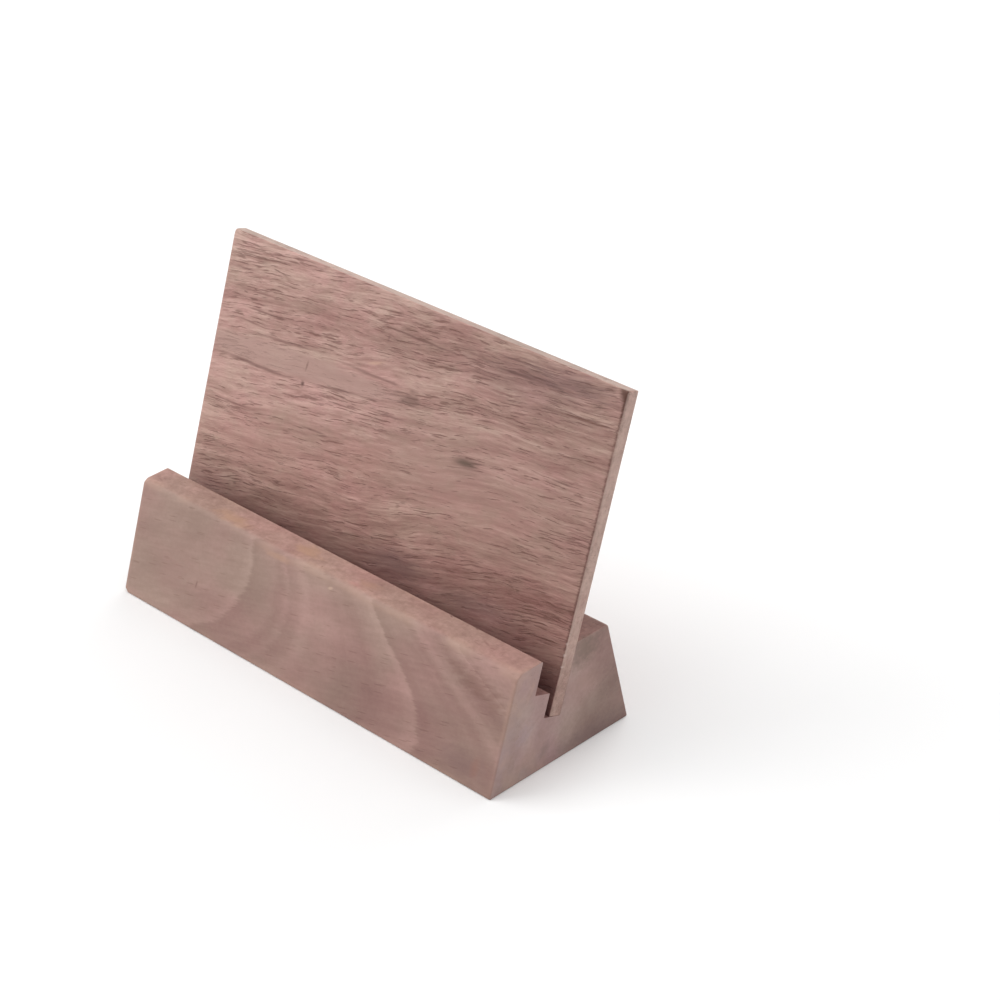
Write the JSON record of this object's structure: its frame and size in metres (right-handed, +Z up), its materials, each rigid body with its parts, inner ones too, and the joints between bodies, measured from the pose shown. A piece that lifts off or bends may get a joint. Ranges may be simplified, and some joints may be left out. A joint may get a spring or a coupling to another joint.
{
  "type": "wooden photo block holder",
  "caption": "Walnut photo and card stand: a bevelled block with a stepped, leaning slot, and a thin wooden back panel that stands in it and lifts out.",
  "frame": {"origin": "middle of the block's underside, on the surface that it stands on", "axes": "+X along the stand, to the right seen from the front; +Y to the back, the way the panel leans; +Z up"},
  "size_m": [0.1, 0.0362, 0.0666],
  "materials": {
    "block_walnut": "sanded smooth, thin matt oil, broad curved figure",
    "panel_walnut": "sanded smooth, thin matt oil, fine open pores along the grain"
  },
  "bodies": {
    "base": {"base_block": "block_walnut"},
    "panel": {"back_panel": "panel_walnut"}
  },
  "joints": [
    {"name": "panel_lift", "type": "slide", "parent": "base", "child": "panel", "axis": [0, 0.3123, 0.95], "range_m": [0, 0.016]}
  ]
}
